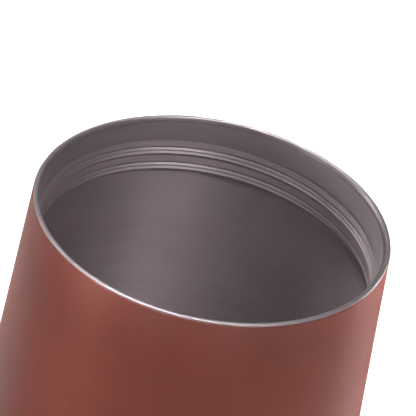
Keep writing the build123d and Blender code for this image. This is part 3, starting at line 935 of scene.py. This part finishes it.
def foam():
    """White closed-cell foam."""
    nodes = Nodes("white_cell_foam")
    place = nodes.object_position()
    cells = nodes.add("ShaderNodeTexVoronoi")
    cells.inputs["Scale"].default_value = 1400.0
    nodes.link(place, cells.inputs["Vector"])
    cloud = nodes.noise(place, 70.0, 3.0)
    nodes.feed(nodes.ramp(cloud, [(0.35, (0.80, 0.79, 0.75)), (0.7, (0.88, 0.87, 0.84))]), "Base Color")
    nodes.feed(nodes.span(cloud, 0.75, 0.92), "Roughness")
    nodes.feed(nodes.bump(cells.outputs["Distance"], 0.6, 0.12 * MM), "Normal")
    return nodes.material


def speckled(name, colours, roughness, metallic, scale):
    """Fine-grained solid such as pressed powder or solder glass."""
    nodes = Nodes(name)
    place = nodes.object_position()
    grain = nodes.noise(place, scale, 4.0, 0.7)
    nodes.feed(nodes.ramp(grain, [(0.35, colours[0]), (0.65, colours[1])]), "Base Color")
    nodes.feed(nodes.span(grain, roughness - 0.08, roughness + 0.08), "Roughness")
    nodes.feed(nodes.bump(grain, 0.5, 0.05 * MM), "Normal")
    nodes.set(Metallic=metallic)
    return nodes.material


def brushed_steel(name, colours, roughness, along=(1.0, 70.0, 70.0)):
    """Steel brushed in straight lines along one axis."""
    nodes = Nodes(name)
    x, y, z = nodes.split(nodes.object_position())
    stretched = nodes.vector(*(nodes.math("MULTIPLY", value, 90.0 * rate)
                               for value, rate in zip((x, y, z), along)))
    lines = nodes.noise(stretched, 1.0, 4.0, 0.7)
    cloud = nodes.noise(nodes.object_position(), 80.0, 3.0)
    nodes.feed(nodes.ramp(cloud, [(0.3, colours[0]), (0.7, colours[1])]), "Base Color")
    nodes.feed(nodes.span(lines, roughness - 0.08, roughness + 0.10), "Roughness")
    nodes.feed(nodes.bump(lines, 0.35, 0.015 * MM), "Normal")
    nodes.set(Metallic=1.0)
    return nodes.material


def dress(piece, material):
    piece.data.materials.clear()
    piece.data.materials.append(material)


def dress_liner(piece, chamber, thread, neck, lip):
    """Chamber below the step, rolled thread, smooth neck, and the bare lip on top, its steel coloured darker
    than the neck as painted shade.
    """
    for material in (chamber, thread, neck, lip):
        piece.data.materials.append(material)
    for face in piece.data.polygons:
        depth = RIM_Z - face.center.z
        if depth < CHAMFER_DEPTH * 0.98:
            face.material_index = 3
        elif depth < NECK_DEPTH - 0.3 * MM:
            face.material_index = 2
        elif depth < STEP_LOW_DEPTH:
            face.material_index = 1


def dress_node(name, material):
    """Give a carried-over CAD node its material."""
    for slot in frame["nodes"][name].material_slots:
        slot.material = material


# ---------------------------------------------------------------- stage

def turned_about(axis, angle, vector):
    return Matrix.Rotation(angle, 3, axis) @ vector


def make_camera():
    """Camera above the -Y side, aimed near the middle of the mouth and rolled about its line of sight."""
    data = bpy.data.cameras.new("camera")
    camera = bpy.data.objects.new("camera", data)
    bpy.context.scene.collection.objects.link(camera)
    mouth = Vector((0, 0, RIM_Z))
    away = Vector((0, -math.cos(CAMERA_ELEVATION), math.sin(CAMERA_ELEVATION)))
    forward = -away
    right = Vector((1, 0, 0))
    up = right.cross(forward)
    forward, right = (turned_about(up, CAMERA_PAN, v) for v in (forward, right))
    forward, up = (turned_about(right, CAMERA_TILT, v) for v in (forward, up))
    right, up = (turned_about(forward, CAMERA_ROLL, v) for v in (right, up))
    turn = Matrix((right, up, -forward)).transposed().to_4x4()
    camera.matrix_world = Matrix.Translation(mouth + away * CAMERA_DISTANCE) @ turn
    data.sensor_width = SENSOR
    data.lens = FOCAL_WIDTHS * SENSOR
    data.clip_start = 0.01
    data.clip_end = 50.0
    bpy.context.scene.camera = camera


def around_mouth(azimuth, elevation, distance):
    """Place in a direction from the middle of the mouth, in degrees."""
    turn, lift = math.radians(azimuth), math.radians(elevation)
    return (distance * math.cos(lift) * math.cos(turn), distance * math.cos(lift) * math.sin(turn),
            AIM_Z + distance * math.sin(lift))


def make_area_light(name, place, target, size, power, spread):
    """Soft box, itself unseen by the camera, facing a target."""
    data = bpy.data.lights.new(name, "AREA")
    data.shape = "RECTANGLE"
    data.size, data.size_y = size
    data.energy = power
    data.spread = math.radians(spread)
    light = bpy.data.objects.new(name, data)
    light.location = place
    light.rotation_euler = (Vector(target) - Vector(place)).to_track_quat("-Z", "Y").to_euler()
    light.visible_camera = False
    bpy.context.scene.collection.objects.link(light)


def make_floor():
    corners = [(-FLOOR_HALF, -FLOOR_HALF, 0), (FLOOR_HALF, -FLOOR_HALF, 0),
               (FLOOR_HALF, FLOOR_HALF, 0), (-FLOOR_HALF, FLOOR_HALF, 0)]
    floor = add_object("floor", (corners, [(0, 1, 2, 3)]))
    nodes = Nodes("pale_floor")
    grain = nodes.noise(nodes.object_position(), 400.0, 3.0)
    nodes.feed(nodes.ramp(grain, [(0.3, (0.84, 0.84, 0.845)), (0.7, (0.87, 0.87, 0.87))]), "Base Color")
    nodes.set(Roughness=0.7)
    dress(floor, nodes.material)


def make_lighting():
    world = bpy.data.worlds.new("studio")
    world.use_nodes = True
    tree = world.node_tree
    background = tree.nodes["Background"]
    background.inputs["Strength"].default_value = 1.0
    direction = tree.nodes.new("ShaderNodeTexCoord")
    parts = tree.nodes.new("ShaderNodeSeparateXYZ")
    sky = tree.nodes.new("ShaderNodeValToRGB")
    for element, (height, level) in zip(sky.color_ramp.elements, WORLD_LEVELS):
        element.position = height
        element.color = (level, level * 0.99, level * 0.985, 1.0)
    tree.links.new(direction.outputs["Generated"], parts.inputs[0])
    tree.links.new(parts.outputs[2], sky.inputs[0])
    tree.links.new(sky.outputs[0], background.inputs["Color"])
    bpy.context.scene.world = world
    bpy.context.scene.view_settings.view_transform = "Standard"
    for name, azimuth, elevation, distance, size, spread, power in STUDIO_LIGHTS:
        place = around_mouth(azimuth, elevation, distance)
        make_area_light(name, place, (0, 0, min(place[2], AIM_Z)), size, power, spread)
    for ring, (reach, height, size, spread, power) in enumerate(FLOOR_LIGHT_RINGS):
        for index in range(FLOOR_LIGHT_COUNT):
            turn = 2 * math.pi * (index + 0.5) / FLOOR_LIGHT_COUNT
            spot = (reach * math.cos(turn), reach * math.sin(turn))
            name = "floor_soft_" + str(ring) + "_" + str(index)
            make_area_light(name, (*spot, height), (*spot, 0), (size, size), power, spread)
    make_area_light("background_soft", *BACKGROUND_LIGHT)


make_camera()
make_floor()
make_lighting()

chamber_steel = spun_steel("chamber_steel", ((0.66, 0.58, 0.60), (0.76, 0.68, 0.70)), 0.60, directional=0.72)
thread_steel = spun_steel("thread_steel", ((0.66, 0.58, 0.60), (0.78, 0.69, 0.71)), 0.54,
                          directional=0.2, glitter=0.6)
neck_steel = spun_steel("neck_steel", ((0.58, 0.51, 0.53), (0.66, 0.59, 0.61)), 0.60, directional=0.2)
# painted shade: the lip is the liner's own steel, coloured darker than the neck to dull its reflections
lip_steel_painted_shade = spun_steel("lip_steel_painted_shade", ((0.40, 0.35, 0.36), (0.50, 0.44, 0.45)), 0.42, directional=0.2)
base_steel = spun_steel("base_steel", ((0.50, 0.49, 0.48), (0.60, 0.59, 0.58)), 0.38)
lid_steel = spun_steel("lid_steel", ((0.56, 0.55, 0.54), (0.66, 0.65, 0.64)), 0.30, LID_X)
inner_steel = brushed_steel("inner_steel", ((0.46, 0.45, 0.44), (0.56, 0.55, 0.54)), 0.45)
handle_steel = brushed_steel("handle_steel", ((0.55, 0.54, 0.53), (0.64, 0.63, 0.62)), 0.32, (4.0, 4.0, 70.0))
screw_steel = spun_steel("screw_steel", ((0.52, 0.51, 0.50), (0.62, 0.61, 0.60)), 0.28, LID_X)
lid_plastic = moulded("black_plastic", (0.018, 0.018, 0.019), (0.028, 0.028, 0.029), 0.48, 2200.0, 0.05 * MM)
pad_rubber = moulded("black_rubber", (0.012, 0.012, 0.012), (0.022, 0.021, 0.020), 0.68,
                     1600.0, 0.08 * MM, 0.35)
grip_rubber = moulded("grip_rubber", (0.015, 0.015, 0.016), (0.025, 0.024, 0.024), 0.60,
                      2600.0, 0.07 * MM, 0.4)
washer_nylon = moulded("natural_nylon", (0.62, 0.61, 0.56), (0.72, 0.71, 0.66), 0.42, 1800.0, 0.03 * MM)

dress_liner(make_liner(), chamber_steel, thread_steel, neck_steel, lip_steel_painted_shade)
dress_node("liner_bottom", chamber_steel)
dress(make_shell(), painted_metal())
dress(make_base_cover(), base_steel)
dress(make_base_pad(), pad_rubber)
dress_node("shell_bottom", inner_steel)
dress_node("getter_clip", inner_steel)
dress_node("copper_foil", copper_sheet())
getter_powder = speckled("getter_powder", ((0.10, 0.10, 0.11), (0.19, 0.19, 0.20)), 0.72, 0.3, 2400.0)
dress_node("getter_tablet", getter_powder)
solder_glass = speckled("solder_glass", ((0.05, 0.045, 0.04), (0.10, 0.09, 0.08)), 0.25, 0.0, 900.0)
dress_node("vacuum_seal", solder_glass)
dress(make_plug(), lid_plastic)
dress(make_cap(), lid_plastic)
dress(make_gasket(), silicone())
dress(make_foot_disc(), lid_steel)
dress(make_top_plate(), lid_steel)
dress(make_screws(), screw_steel)
dress(make_pins(), handle_steel)
dress(make_washers(), washer_nylon)
dress(make_handle(), handle_steel)
dress(make_grip(), grip_rubber)
dress_node("lid_foam", foam())
